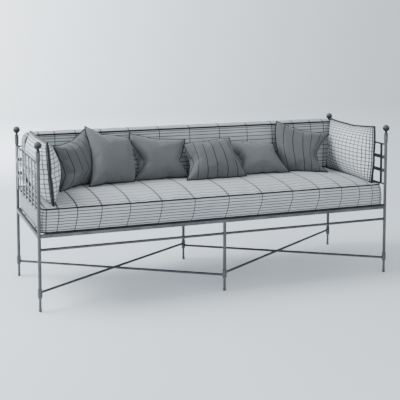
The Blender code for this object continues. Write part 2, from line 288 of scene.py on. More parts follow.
def joined(name, parts):
    """One object from several, keeping each one's faces."""
    shape = bmesh.new()
    for part in parts:
        shape.from_mesh(part.data)
        bpy.data.objects.remove(part)
    mesh = bpy.data.meshes.new(name)
    shape.to_mesh(mesh)
    shape.free()
    piece = bpy.data.objects.new(name, mesh)
    bpy.context.scene.collection.objects.link(piece)
    return piece


def tube_loop(name, path, radius, sides=10):
    """A closed round cord along a loop of points, with a ring in each point's own plane."""
    path = [Vector(point) for point in path]
    count = len(path)
    points = []
    across = None
    for number, point in enumerate(path):
        along = (path[(number + 1) % count] - path[number - 1]).normalized()
        if across is None:
            across = along.orthogonal()
        across = (across - along * across.dot(along)).normalized()
        other = along.cross(across)
        for side in range(sides):
            angle = 2 * math.pi * side / sides
            points.append(point + (across * math.cos(angle) + other * math.sin(angle)) * radius)
    return make_mesh(name, points, loft_faces(count, sides, True), 60)


print("makers ready")

# %% [markdown]
# ## Legs, posts and ball finials
#
# Each post is a round tube with a thicker sleeve at the top, a ring, a short neck and a ball. Near the
# floor a collar takes the stretchers, and a thinner spindle under it ends in a small flared foot. They are
# turned shapes, so each is one profile; small rounded lips at the edges catch the light as cast and filed
# metal does.


# %% Make the posts, sleeves, balls, collars and feet
def lipped(low, high, radius, lip):
    """The profile of a sleeve or collar whose two ends are rounded over."""
    return [
        (low, radius - 2.2 * lip),
        (low + 0.15 * lip, radius - lip),
        (low + lip, radius - 0.15 * lip),
        (low + 2 * lip, radius),
        (high - 2 * lip, radius),
        (high - lip, radius - 0.15 * lip),
        (high - 0.15 * lip, radius - lip),
        (high, radius - 2.2 * lip),
    ]


def grooved(low, high, radius, at, depth=0.0022):
    """A sleeve's profile with a fine groove at each of the given heights."""
    outline = lipped(low, high, radius, 0.0014)
    cuts = []
    for height in at:
        cuts += [(height - 0.0022, radius), (height - 0.0014, radius - depth)]
        cuts += [(height + 0.0014, radius - depth), (height + 0.0022, radius)]
    return outline[:4] + cuts + outline[4:]


metal_pieces = []


def keep_metal(piece, slot_name, *nodes):
    """Notes a metal piece, the nodes that it stands for and its finish."""
    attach(piece, "root")
    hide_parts(*nodes)
    metal_pieces.append((piece, slot_name))


corners = [(row, end) for row in ("front", "back") for end in ("left", "right")]
for row, end in corners:
    key = f"{row}_{end}"
    place = middle(f"corner_post_{key}")
    x, y = place.x, place.y
    post_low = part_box(f"corner_post_{key}")[0]
    sleeve_low, sleeve_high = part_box(f"finial_sleeve_{key}")
    ball_low, ball_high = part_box(f"finial_ball_{key}")
    base = (x, y, 0)
    up = (x, y, 1)
    outline = lipped(post_low.z, sleeve_low.z + 0.004, POST_RADIUS, 0.0008)
    keep_metal(turned(f"post_{key}", base, up, outline), "frame_metal", f"corner_post_{key}")
    radius = (sleeve_high.x - sleeve_low.x) / 2
    heights = (sleeve_low.z + 0.006, sleeve_high.z - 0.006)
    outline = grooved(sleeve_low.z, sleeve_high.z, radius, heights)
    keep_metal(turned(f"sleeve_{key}", base, up, outline), "frame_metal", f"finial_sleeve_{key}")
    ball = (ball_high.x - ball_low.x) / 2
    centre = ball_high.z - ball
    outline = lipped(ball_low.z, ball_low.z + 0.0068, radius - 0.0006, 0.0016)
    outline.append((ball_low.z + 0.0072, 0.0080))
    neck = math.asin(0.0078 / ball)
    for step in range(25):
        angle = math.pi - neck + (neck - math.pi) * step / 24
        outline.append((centre + ball * math.cos(angle), ball * math.sin(angle)))
    keep_metal(turned(f"ball_{key}", base, up, outline, 48), "finial_metal", f"finial_ball_{key}")

for row in ("front", "back"):
    low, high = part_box(f"middle_leg_{row}")
    x, y = (low.x + high.x) / 2, (low.y + high.y) / 2
    outline = lipped(low.z, high.z + 0.001, POST_RADIUS, 0.0008)
    leg = turned(f"middle_leg_{row}_tube", (x, y, 0), (x, y, 1), outline)
    keep_metal(leg, "frame_metal", f"middle_leg_{row}")
    for end in ("left", "middle", "right"):
        key = f"{row}_{end}"
        low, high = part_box(f"leg_collar_{key}")
        x, y = (low.x + high.x) / 2, (low.y + high.y) / 2
        radius = (high.x - low.x) / 2
        outline = [(low.z, POST_RADIUS - 0.001), (low.z, POST_RADIUS + 0.0006)]
        outline += [(low.z + 0.004, radius - 0.0018), (low.z + 0.009, radius - 0.0004)]
        outline += grooved(low.z + 0.009, high.z, radius, (high.z - 0.006,))[3:]
        collar = turned(f"collar_{key}", (x, y, 0), (x, y, 1), outline)
        keep_metal(collar, "frame_metal", f"leg_collar_{key}")
        low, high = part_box(f"foot_{key}")
        wide = (high.x - low.x) / 2
        outline = [(0.0, wide - 0.0012), (0.0004, wide - 0.0004), (0.0014, wide), (0.012, wide)]
        outline += [(0.0150, wide - 0.0004), (0.0175, 0.0079), (0.0200, 0.0074), (0.0240, 0.0073)]
        outline += [(0.0320, 0.0073), (0.0328, 0.0082), (0.0352, 0.0082), (0.0360, 0.0073)]
        outline += [(high.z - 0.003, 0.0073), (high.z, 0.0076)]
        foot = turned(f"foot_{key}_spindle", (x, y, 0), (x, y, 1), outline)
        keep_metal(foot, "frame_metal", f"foot_{key}")
print("turned pieces:", len(metal_pieces))

# %% [markdown]
# ## Rails and stretchers
#
# The rods are welded to the posts, and a weld leaves a small fillet. A rod's profile therefore widens over
# its last few millimetres and runs a little into the post, which hides the joint. Two square rails run the
# whole length and two join them at the ends; the cushion sits on them.


# %% Make the rods, the square rails and the stretchers
def welded_rod(name, start, end, radius, sink=0.0015):
    """A rod between two faces, with a weld fillet at each end that sinks a little into what it meets."""
    start, end = Vector(start), Vector(end)
    along = (end - start).normalized()
    start = start - along * sink
    length = (end - start).length + sink
    fillet = [(0.0, 0.0022), (0.0022, 0.0019), (0.0034, 0.0010), (0.0050, 0.0003), (0.0075, 0.0)]
    outline = [(distance, radius + extra) for distance, extra in fillet]
    outline += [(length - distance, radius + extra) for distance, extra in reversed(fillet)]
    return turned(name, start, end, outline, 24)


def along_axis(node, axis, radius_axis):
    """The ends and the radius of a rod that lies along one axis."""
    low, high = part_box(node)
    start = (low + high) / 2
    end = start.copy()
    start[axis] = low[axis]
    end[axis] = high[axis]
    return start, end, (high[radius_axis] - low[radius_axis]) / 2


rod_nodes = {"arm_bottom_rail_left": 1, "arm_bottom_rail_right": 1, "arm_top_rail_left": 1}
rod_nodes.update({"arm_top_rail_right": 1, "back_bottom_rail": 0, "back_top_rail": 0})
rod_nodes.update({"front_lower_rail_left": 0, "front_lower_rail_right": 0})
for node, axis in rod_nodes.items():
    start, end, radius = along_axis(node, axis, 2)
    keep_metal(welded_rod(node + "_rod", start, end, radius), "frame_metal", node)

for name in ("front", "back", "left", "right"):
    low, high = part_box(f"seat_rail_{name}")
    axis = 0 if name in ("front", "back") else 1
    low[axis] -= 0.003
    high[axis] += 0.003
    keep_metal(bar(f"seat_rail_{name}_tube", low, high), "frame_metal", f"seat_rail_{name}")

STRETCHER_RADIUS = 0.0070
COLLAR_RADIUS = span("leg_collar_front_left").x / 2
runs = {
    "stretcher_front_left_to_back_middle": ((-POST_X, -POST_Y), (0, POST_Y)),
    "stretcher_front_middle_to_back_right": ((0, -POST_Y), (POST_X, POST_Y)),
    "stretcher_back_left_to_front_middle": ((-POST_X, POST_Y), (0, -POST_Y)),
    "stretcher_back_middle_to_front_right": ((0, POST_Y), (POST_X, -POST_Y)),
}
for node, (first, second) in runs.items():
    height = middle(node).z
    start, end = Vector((*first, height)), Vector((*second, height))
    trim = (end - start).normalized() * COLLAR_RADIUS
    rod = welded_rod(node + "_rod", start + trim, end - trim, STRETCHER_RADIUS)
    keep_metal(rod, "frame_metal", node)
print("metal pieces so far:", len(metal_pieces))

# %% [markdown]
# ## The slat lattice
#
# Flat strips stand on the outer side of the two thin rails at each end and along the back, and two level
# strips cross them on the inside. Each strip is rolled flat stock, so its edges are rounded; where two
# strips cross they are welded, and a small round bead shows at the crossing's edge.


# %% Make the three lattices from rounded strips
def strip(name, centre, size, turn):
    """One rounded flat strip, given in the lattice's own plane and then turned into place."""
    half = Vector(size) / 2
    centre = Vector(centre)
    piece = bar(name, centre - half, centre + half, 0.0013)
    piece.data.transform(turn)
    return piece


def make_lattice(node, pitch_count, half_length, turn):
    """Upright strips outside the rails, level strips inside them, and a weld bead at each crossing."""
    low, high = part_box(node)
    tall = high.z - low.z
    parts = []
    for number in range(-pitch_count, pitch_count + 1):
        centre = (number * 0.0975, 0.0078, (low.z + high.z) / 2)
        parts.append(strip(node + "_upright", centre, (0.024, 0.0042, tall), turn))
    for height in (0.627, 0.709):
        size = (2 * half_length + 0.004, 0.0040, 0.022)
        parts.append(strip(node + "_level", (0, 0.0048, height), size, turn))
        for number in range(-pitch_count, pitch_count + 1):
            for side in (-1, 1):
                x = number * 0.0975 + side * 0.0122
                bead = turned("bead", (x, 0.0052, height - 0.0085), (x, 0.0052, 1), BEAD, 8)
                bead.data.transform(turn)
                parts.append(bead)
    return joined(node + "_strips", parts)


BEAD = [(0.0, 0.0006), (0.0012, 0.0015), (0.0085, 0.0017), (0.0158, 0.0015), (0.017, 0.0006)]
arm_half = POST_Y - POST_RADIUS
back_half = POST_X - POST_RADIUS
back_turn = Matrix.Translation((0, POST_Y, 0))
keep_metal(make_lattice("back_lattice", 10, back_half, back_turn), "frame_metal", "back_lattice")
for end, side in (("left", 1), ("right", -1)):
    turn = Matrix.Translation((-side * POST_X, 0, 0)) @ Matrix.Rotation(side * math.pi / 2, 4, "Z")
    lattice = make_lattice(f"arm_lattice_{end}", 3, arm_half, turn)
    keep_metal(lattice, "frame_metal", f"arm_lattice_{end}")
print("lattice vertices:", len(lattice.data.vertices))

# %% [markdown]
# ## Pattern coordinates for the cloth
#
# The cloth has a woven ground and, on most pieces, fine dark ruled lines that cross as a large check. A
# sewn cover is cut flat, so its pattern lies on the flat panels and then bends with them. Each face corner
# is given three flat coordinates: its place on the panel in metres, its place counted in cells between the
# ruled lines, and how wide a line is in those cells. The lines then stay as thin as a yarn wherever the
# cells are wide.


# %% Write the flat coordinates onto a mesh
RULED_HALF_WIDTH = 0.0019


def write_pattern(piece, face_corners):
    """Stores each corner's (metres, cells, line widths) as three UV maps, in the order of the faces."""
    for layer, name in enumerate(("cloth", "cells", "line_widths")):
        values = piece.data.uv_layers.new(name=name)
        flat = [value for corner in face_corners for value in corner[layer]]
        values.data.foreach_set("uv", flat)


def arc_cells(place, half, count=16, half_width=RULED_HALF_WIDTH):
    """Cells that are wide in the middle and close at the ends, and the line width in cells."""
    ratio = max(-0.9995, min(0.9995, place / half))
    rate = count / math.pi / (half * math.sqrt(1 - ratio * ratio))
    return math.asin(ratio) * count / math.pi, half_width * min(rate, 200)


def even_cells(place, pitch, half_width=RULED_HALF_WIDTH):
    """Cells of one size, and the line width in cells."""
    return place / pitch, half_width / pitch


print("line half width:", RULED_HALF_WIDTH)

# %% [markdown]
# ## Box cushions
#
# The seat and the back are box cushions: a top and a bottom panel, with a strip of boxing sewn between them
# all round and a cord in both seams. One builder serves both. It lays a grid on the panel, rounds the
# corners of the outline, and hangs the boxing from that outline, so seam and boxing always meet.


# %% Build a box cushion from its panels
def grid_places(half, step):
    """Places from -half to half, with closer ones near both ends."""
    edge = [half, half - 0.007, half - 0.016, half - 0.028, half - 0.044]
    count = max(2, round(2 * edge[-1] / step))
    inner = [-edge[-1] + 2 * edge[-1] * number / count for number in range(1, count)]
    return sorted([-value for value in edge] + inner + edge)


def round_corner(a, b, half_a, half_b, radius):
    """Moves a point of a rectangle so that its corner becomes a quarter circle."""
    over_a = (abs(a) - half_a + radius) / radius
    over_b = (abs(b) - half_b + radius) / radius
    if min(over_a, over_b) <= 0:
        return a, b
    reach = radius * max(over_a, over_b) / math.hypot(over_a, over_b)
    return (
        math.copysign(half_a - radius + over_a * reach, a),
        math.copysign(half_b - radius + over_b * reach, b),
    )


def box_cushion(name, half_a, half_b, low_h, high_h, shape, place):
    """A box cushion in its own (a, b, h), with h from the bottom panel to the top, placed in the frame."""
    places_a = grid_places(half_a, 0.022)
    places_b = grid_places(half_b, 0.022)
    count_a, count_b = len(places_a), len(places_b)
    points, flat, levels = [], [], shape["levels"]
    for panel in ("bottom", "top"):
        for b in places_b:
            for a in places_a:
                radius = shape["radius"](a, b)
                new_a, new_b = round_corner(a, b, half_a, half_b, radius)
                height = high_h + shape["crown"](a, b) if panel == "top" else low_h - shape["sag"](a, b)
                if panel == "bottom":
                    new_a *= 1 - shape["tuck"][0] / half_a
                    new_b *= 1 - shape["tuck"][1] / half_b
                points.append((new_a, new_b, height))
                flat.append((a, b))
    layer = count_a * count_b
    rim = [(column, 0) for column in range(count_a - 1)]
    rim += [(count_a - 1, row) for row in range(count_b - 1)]
    rim += [(column, count_b - 1) for column in range(count_a - 1, 0, -1)]
    rim += [(0, row) for row in range(count_b - 1, 0, -1)]
    rim_index = [row * count_a + column for column, row in rim]
    loops = [list(rim_index)]
    for level in range(1, levels):
        share = level / levels
        loop = []
        for number, index in enumerate(rim_index):
            before = Vector(points[rim_index[number - 1]][:2])
            after = Vector(points[rim_index[(number + 1) % len(rim)]][:2])
            along = (after - before).normalized()
            outward = Vector((along.y, -along.x))
            low, high = Vector(points[index]), Vector(points[layer + index])
            middle_point = low.lerp(high, share)
            swell = shape["swell"](*flat[index], share)
            loop.append(len(points))
            out_x = middle_point.x + outward.x * swell
            out_y = middle_point.y + outward.y * swell
            points.append((out_x, out_y, middle_point.z))
        loops.append(loop)
    loops.append([layer + index for index in rim_index])
    faces, corners_out = [], []
    panel_faces(faces, corners_out, places_a, places_b, half_a, half_b, shape)
    boxing_faces(faces, corners_out, loops, rim_index, flat, half_a, half_b, high_h - low_h, shape)
    piece = make_mesh(name, [place(*point) for point in points], faces, 70)
    write_pattern(piece, corners_out)
    return piece, loops


def panel_faces(faces, corners_out, places_a, places_b, half_a, half_b, shape):
    """The faces of the bottom and top panels, and their flat coordinates."""
    count_a, count_b = len(places_a), len(places_b)
    for panel in (0, 1):
        start = panel * count_a * count_b
        for row in range(count_b - 1):
            for column in range(count_a - 1):
                square = [(column, row), (column + 1, row), (column + 1, row + 1), (column, row + 1)]
                if panel == 0:
                    square.reverse()
                faces.append(tuple(start + r * count_a + c for c, r in square))
                for c, r in square:
                    a, b = places_a[c], places_b[r]
                    slip = shape["drift"](a, b) if panel == 1 else 0.0
                    cell_a, width_a = arc_cells(a - slip, half_a, half_width=shape["cross"])
                    cell_b, width_b = arc_cells(b, half_b, half_width=shape["line"])
                    corners_out.append(((a, b), (cell_a, cell_b), (width_a, width_b)))


def boxing_faces(faces, corners_out, loops, rim_index, flat, half_a, half_b, height, shape):
    """The faces of the boxing, whose cells follow the panel's own lines along the seam."""
    levels = len(loops) - 1
    count = len(rim_index)
    for level in range(levels):
        for number in range(count):
            after = (number + 1) % count
            below, above = loops[level], loops[level + 1]
            faces.append((below[number], below[after], above[after], above[number]))
            first, second = flat[rim_index[number]], flat[rim_index[after]]
            axis = 0 if first[1] == second[1] else 1
            for which, share in ((first, level), (second, level), (second, level + 1), (first, level + 1)):
                run = which[axis]
                rise = height * share / levels
                slip = shape["drift"](*which) * share / levels if axis == 0 else 0.0
                cross = shape["rise"] if axis == 0 else 0.7 * shape["line"]
                cell, width = arc_cells(run - slip, (half_a, half_b)[axis], half_width=cross)
                cell_up, width_up = even_cells(rise, height / 8, (0.8, 1.3)[axis] * shape["line"])
                corners_out.append(((run + axis * 3.0, rise), (cell, cell_up), (width, width_up)))


print("box cushion builder ready")

# %% [markdown]
# ## Letting the stuffing settle
#
# A cushion cover is a little too large for its filling, so the cloth tightens over the middle and ripples
# beside the seams. That is what a cloth simulation with inner pressure gives. The seams are pinned on a box
# cushion, because there the cord keeps its line; a knife-edge pillow is left free.


# %% Run cloth over a piece and read the settled shape
def read_points(mesh):
    values = np.empty(len(mesh.vertices) * 3)
    mesh.vertices.foreach_get("co", values)
    return values.reshape(-1, 3)


def write_points(piece, points):
    piece.data.vertices.foreach_set("co", np.asarray(points, float).ravel())
    piece.data.update()


def settle(piece, pressure, frames, pinned=(), shrink=0.0, stiffness=12.0, bending=0.4):
    """The points of the piece after cloth has run on it; the piece itself is left as it was."""
    cloth = piece.modifiers.new("cloth", "CLOTH")
    settings = cloth.settings
    settings.quality = 5
    settings.mass = 0.25
    settings.air_damping = 4
    settings.tension_stiffness = stiffness
    settings.compression_stiffness = stiffness
    settings.shear_stiffness = stiffness / 3
    settings.bending_stiffness = bending
    settings.use_pressure = True
    settings.uniform_pressure_force = pressure
    settings.shrink_min = shrink
    settings.effector_weights.gravity = 0
    if pinned:
        group = piece.vertex_groups.new(name="seams")
        group.add(list(pinned), 1.0, "REPLACE")
        settings.vertex_group_mass = "seams"
        settings.pin_stiffness = 1
    cloth.point_cache.frame_start = 1
    cloth.point_cache.frame_end = frames
    for frame_number in range(1, frames + 1):
        bpy.context.scene.frame_set(frame_number)
    graph = bpy.context.evaluated_depsgraph_get()
    settled = read_points(piece.evaluated_get(graph).data)
    piece.modifiers.remove(cloth)
    piece.vertex_groups.clear()
    bpy.context.scene.frame_set(1)
    return settled


def refine(piece, levels=1):
    """Adds the subdivision that rounds the settled cloth."""
    smooth = piece.modifiers.new("subdivision", "SUBSURF")
    smooth.levels = levels
    smooth.render_levels = levels


print("settling ready, quick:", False)

# %% [markdown]
# ## The seat cushion
#
# The seat is over two metres long and only twelve or so centimetres deep at its seams, with a crowned top.
# Its front hangs a little over the rail and is fullest just under the top seam. The outline's corners are
# rounded because a box corner can't be stuffed sharp. After the cloth has settled, its change is limited to
# a few millimetres, so the cushion keeps the frame's size.


# %% Make the seat cushion
SEAT_SWELL = (0.0, 0.007, 0.013, 0.019, 0.016, 0.0)


def smooth_between(values, share):
    """A smooth curve through values at equal steps from 0 to 1."""
    spot = share * (len(values) - 1)
    low = min(int(spot), len(values) - 2)
    part = spot - low
    part = part * part * (3 - 2 * part)
    return values[low] * (1 - part) + values[low + 1] * part


def seat_crown(a, b):
    return SEAT_CROWN * max(0.0, 1 - (b / SEAT_Y) ** 2) ** 0.8 * max(0.0, 1 - abs(a / SEAT_X) ** 6) ** 0.8


def seat_swell(a, b, share):
    """How far the boxing stands out: most at the front, less at the back and the ends."""
    full = smooth_between(SEAT_SWELL, share)
    if b < -SEAT_Y + 0.001:
        corner = min(1.0, (SEAT_X - abs(a)) / 0.09)
        return full * (0.45 + 0.55 * corner)
    if b > SEAT_Y - 0.001:
        return 0.25 * full
    return 0.010 * math.sin(math.pi * share) ** 0.5


def seat_drift(a, b):
    """How far the cloth's cross lines slip to the right on the top, most at its front edge."""
    along = a / SEAT_X
    most = 0.026 * (1 - along**4) + 0.013 * max(0.0, 1 - ((along - 0.4) / 0.5) ** 2)
    kept = 0.4 + 0.45 * max(0.0, min(1.0, (along + 0.3) / 0.5))
    front = (SEAT_Y - b) / (2 * SEAT_Y)
    return most * (kept + (1 - kept) * front)


seat_shape = {
    "drift": seat_drift,
    "cross": 0.0034,
    "rise": 0.0017,
    "line": 0.0018,
    "tuck": (-0.006, -0.006),
    "levels": 8,
    "radius": lambda a, b: 0.030,
    "crown": seat_crown,
    "sag": lambda a, b: 0.0,
    "swell": seat_swell,
}
seat, seat_loops = box_cushion(
    "seat_cushion_cover", SEAT_X, SEAT_Y, SEAT_LOW.z, SEAT_EDGE, seat_shape, lambda a, b, h: (a, b, h)
)


def settled_within(piece, limit, loops, **cloth_options):
    """Settles a box cushion and keeps each point within the limit of where it was."""
    start = read_points(piece.data)
    held = sorted(set(loops[0]) | set(loops[-1]))
    moved = settle(piece, pinned=held, **cloth_options) - start
    length = np.linalg.norm(moved, axis=1, keepdims=True)
    kept_length = limit * np.tanh(length / limit)
    write_points(piece, start + moved * kept_length / np.maximum(length, 1e-9))
    return float(kept_length.max())


biggest = settled_within(seat, 0.007, seat_loops, pressure=0.6, frames=16, shrink=-0.012)
points = read_points(seat.data)
points[:, 2] = np.maximum(points[:, 2], SEAT_LOW.z)
write_points(seat, points)
print("seat settled by up to", biggest)

# %% [markdown]
# ## The back cushion
#
# The back cushion is another box, standing on the seat against the lattice. Its panel faces forward, so the
# builder's h runs towards the front. The upper corners of its outline are rounded more than the lower ones,
# which are pressed down onto the seat.


# %% Make the back cushion
BACK_MIDDLE_Z = (BACK_LOW.z + BACK_HIGH.z) / 2
BACK_HALF_Z = (BACK_HIGH.z - BACK_LOW.z) / 2


def back_crown(a, b):
    rim = max(abs(a) / SEAT_X, abs(b) / BACK_HALF_Z)
    return -0.006 * rim**4


def back_swell(a, b, share):
    fullest = 0.014 if b > -BACK_HALF_Z + 0.03 else 0.0
    return fullest * math.sin(math.pi * share) ** 0.6


back_shape = {
    "drift": lambda a, b: 0.0,
    "cross": 0.0017,
    "rise": 0.0030,
    "line": 0.0014,
    "tuck": (0.0, 0.0),
    "levels": 5,
    "radius": lambda a, b: 0.040 if b > 0 else 0.012,
    "crown": back_crown,
    "sag": lambda a, b: 0.0,
    "swell": back_swell,
}
back, back_loops = box_cushion(
    "back_cushion_cover",
    SEAT_X - 0.012,
    BACK_HALF_Z - 0.010,
    -BACK_HIGH.y,
    -BACK_LOW.y,
    back_shape,
    lambda a, b, h: (a, -h, BACK_MIDDLE_Z - 0.009 + b),
)
biggest = settled_within(back, 0.006, back_loops, pressure=0.5, frames=16, shrink=-0.012)
points = read_points(back.data)
points[:, 1] = np.minimum(points[:, 1], BACK_HIGH.y + 0.001)
write_points(back, points)
print("back settled by up to", biggest)

# %% [markdown]
# ## Knife-edge pillows
#
# A throw pillow and an arm cushion have no boxing: two square panels are sewn face to face and stuffed, so
# the seam is a knife edge and the corners stay flat as ears. Each is simulated as a flat double panel with
# inner pressure. The settled shape is then fitted to its place on the daybed, given by its four corners,
# and the seams are drawn in further where a hand has chopped the pillow or a neighbour holds it.


# %% Simulate a flat double panel
PANEL_CELLS = 36


def rim_of(cells):
    """The grid places round the edge of a panel, in order."""
    around = [(column, 0) for column in range(cells)]
    around += [(cells, row) for row in range(cells)]
    around += [(column, cells) for column in range(cells, 0, -1)]
    return around + [(0, row) for row in range(cells, 0, -1)]


def double_panel(name, half_width, half_height, pattern, seed):
    """Two panels that share their rim, with a trace of thickness and uneven filling."""
    cells = PANEL_CELLS
    noise = np.random.RandomState(seed)
    waves = noise.uniform(-1, 1, (4, 4))
    count = cells + 1
    grid_points, index, places = [], {}, []
    for side in (1, -1):
        for row in range(count):
            for column in range(count):
                on_rim = row in (0, cells) or column in (0, cells)
                if side < 0 and on_rim:
                    index[(side, column, row)] = index[(1, column, row)]
                    continue
                u, v = 2 * column / cells - 1, 2 * row / cells - 1
                index[(side, column, row)] = len(grid_points)
                lift = 0.006 * (1 - u * u) * (1 - v * v)
                ripple = 0.0
                for (a, b, c, d) in waves:
                    ripple += 0.0012 * math.sin(3 + 5 * a * u + 6 * b * v + 3 * c) * d
                lift_point = 0.0 if on_rim else lift + abs(ripple)
                grid_points.append((u * half_width, side * -lift_point, v * half_height))
                places.append((u, v, side))
    faces, corners_out = [], []
    for side in (1, -1):
        for row in range(cells):
            for column in range(cells):
                square = [(column, row), (column + 1, row), (column + 1, row + 1), (column, row + 1)]
                if side < 0:
                    square.reverse()
                faces.append(tuple(index[(side, c, r)] for c, r in square))
                for c, r in square:
                    u, v = 2 * c / cells - 1, 2 * r / cells - 1
                    corners_out.append(pattern(u * half_width, v * half_height))
    piece = make_mesh(name, grid_points, faces, 80)
    write_pattern(piece, corners_out)
    return piece, np.array(places), [index[(1, column, row)] for column, row in rim_of(cells)]


def normal_shape(piece, places, **cloth_options):
    """The settled panel in units of its own corners: u and v from -1 to 1, and thickness from -1 to 1."""
    u, v, side = places.T
    settled = settle(piece, **cloth_options)
    corner = (np.abs(u) > 0.999) & (np.abs(v) > 0.999)
    across = settled[:, 0] / np.abs(settled[corner, 0]).mean()
    up = settled[:, 2] / np.abs(settled[corner, 2]).mean()
    thick = -settled[:, 1]
    thick -= thick[corner].mean()
    return np.column_stack([across, up, thick / np.percentile(np.abs(thick), 99.5)])


print("panel vertices:", 2 * (PANEL_CELLS + 1) ** 2)

# %% [markdown]
# ## Fitting a pillow to its place
#
# A pillow's four corners give its lean and its turn. Between them the seam isn't straight: `pulls` says how
# far the left, right, top and bottom seams draw in. A strong pull is a fold, so it is sharp in its middle,
# and a crease runs from it towards the pillow's centre. `folds` says how high the left and right folds sit,
# from -1 at the bottom to 1 at the top, and `above` how much of the seam over the left one it takes. `bow`
# moves the pillow's middle sideways, and `kink` bends it sideways, most at the height of the left fold.


# %% Fit, press and keep clear
def seam_pull(pull, along, where, above=1.0):
    """How far a seam draws in at a place along it: a sharp fold for a strong pull, a bow for a weak one."""
    over = 1 - (along - where) / (above * (1 - where))
    ratio = np.clip(np.where(along < where, (along + 1) / (where + 1), over), 0, 1)
    if pull > 0.3:
        return pull * (1 - np.sqrt((1 - ratio) ** 2 + 0.012)) / (1 - math.sqrt(0.012))
    return pull * (1 - (1 - ratio) ** 2)


def fitted(normal, places, corners, facts, steep, ripple):
    """The settled panel laid on the patch between four corners, with its seams drawn in."""
    top_left, top_right, bottom_right, bottom_left = [np.array(corner, float) for corner in corners]
    forward = np.cross(top_right - bottom_left, top_left - bottom_right)
    forward /= np.linalg.norm(forward)
    u, v, depth = normal.T
    depth = np.sign(depth) * np.abs(depth) ** steep
    left, right, top, bottom = facts["pulls"]
    folds = facts.get("folds", (0.0, 0.0))
    thick = facts["thick"]
    middle_u = np.abs(places[:, 0]) < 0.03
    middle_v = np.abs(places[:, 1]) < 0.03
    own_u = 1 - np.abs(u[middle_v & (np.abs(places[:, 0]) > 0.99)]).mean()
    own_v = 1 - np.abs(v[middle_u & (np.abs(places[:, 1]) > 0.99)]).mean()
    draw_left = seam_pull(left, v, folds[0], facts.get("above", 1.0))
    draw_u = np.where(u > 0, seam_pull(right, v, folds[1]), draw_left)
    draw_v = np.where(v > 0, seam_pull(top, u, 0.0), seam_pull(bottom, u, 0.0))
    straight_u = u / (1 - own_u * np.clip(1 - v * v, 0, 1))
    straight_v = v / (1 - own_v * np.clip(1 - u * u, 0, 1))
    u = places[:, 0] + ripple * (straight_u - places[:, 0])
    v = places[:, 1] + ripple * (straight_v - places[:, 1])
    behind = np.clip(-depth, 0, 1)
    overhang = np.where(depth > 0, 1 - 0.3 * np.clip(depth, 0, 1), 1 - 0.95 * behind**0.7)
    across = u - u * np.abs(u) ** 0.35 * draw_u * overhang
    across += facts.get("bow", 0.0) * (1 - v * v) * (1 - u * u)
    ridge = np.where(v < folds[0], (v + 1) / (folds[0] + 1), (1 - v) / (1 - folds[0]))
    across += facts.get("kink", 0.0) * np.clip(ridge, 0, 1) ** 1.3 * (1 - u * u)
    up = v - v * np.sqrt(np.abs(v)) * draw_v * overhang
    crease = np.zeros(len(u))
    for pull, where, sign in ((left, folds[0], -1), (right, folds[1], 1)):
        if pull > 0.3:
            reach = np.clip((u * sign - 0.5) / 0.5, 0, 1) ** 1.5
            crease += 0.9 * pull * reach * np.exp(-(((v - where) / 0.14) ** 2))
    s = ((1 + across) / 2)[:, None]
    t = ((1 + up) / 2)[:, None]
    upper = top_left * (1 - s) + top_right * s
    lower = bottom_left * (1 - s) + bottom_right * s
    base = lower * (1 - t) + upper * t
    full = depth * (1 - np.clip(crease, 0, 0.6)) * thick / 2
    return base + forward * full[:, None]


def surface_tree(piece):
    """A search tree over the piece's finished surface."""
    graph = bpy.context.evaluated_depsgraph_get()
    return BVHTree.FromObject(piece, graph)


def press(points, seat_tree, back_y, side_x, gap):
    """Presses points off the seat, the back cushion and the ends of the frame."""
    for number, (x, y, z) in enumerate(points):
        limit = min(y, back_y)
        hit = seat_tree.ray_cast(Vector((x, limit, 1.2)), Vector((0, 0, -1)))
        floor = hit[0].z + gap if hit[0] is not None else -1.0
        points[number] = (max(-side_x, min(side_x, x)), limit, max(z, floor))
    return points


def clear_of(points, trees, gap, deepest=0.07):
    """Moves each point that is inside a neighbour, or nearer to it than the gap, out to the gap."""
    moved = 0
    for tree in trees:
        for number, point in enumerate(points):
            spot, normal, _, distance = tree.find_nearest(Vector(point))
            if spot is None or distance > deepest:
                continue
            inside = (Vector(point) - spot).dot(normal)
            if inside < gap:
                if inside < 0:
                    points[number] = spot + normal * gap
                else:
                    points[number] = Vector(point) + normal * (gap - inside)
                moved += 1
    return moved


def piping_path(piece, rim):
    """The seam's own path, with a point between each two so that it bends smoothly."""
    points = read_points(piece.data)[rim]
    before = np.roll(points, 1, axis=0)
    after = np.roll(points, -1, axis=0)
    later = np.roll(points, -2, axis=0)
    between = (9 * (points + after) - before - later) / 16
    path = np.empty((2 * len(points), 3))
    path[0::2] = 0.9 * points + 0.05 * (before + after)
    path[1::2] = between
    return path


print("fitting ready")

# %% [markdown]
# ## The arm cushions
#
# Each end of the daybed has a long cushion that leans on the slats, almost filling the arm from front to
# back. They are plump, their seams are nearly straight, and a thick dark cord runs all round.


# %% Make the two arm cushions
ARM_CUSHION_HALF = (0.26, 0.175)
SIDE_X = POST_X - POST_RADIUS - 0.002
BACK_Y = BACK_LOW.y - 0.001
seat_tree = surface_tree(seat)


def seat_point(x, y):
    """A corner that rests on the seat."""
    hit = seat_tree.ray_cast(Vector((x, y, 1.2)), Vector((0, 0, -1)))
    return (x, y, hit[0].z + 0.003)


def arm_pattern(count_across, count_up):
    """The cells of an arm cushion's check, with the given numbers of them both ways."""

    def cells(across, up):
        cell_a, width_a = arc_cells(across, 0.262, count_across, 0.0020)
        cell_b, width_b = arc_cells(up, 0.177, count_up, 0.0017)
        return (across, up), (cell_a, cell_b), (width_a, width_b)

    return cells


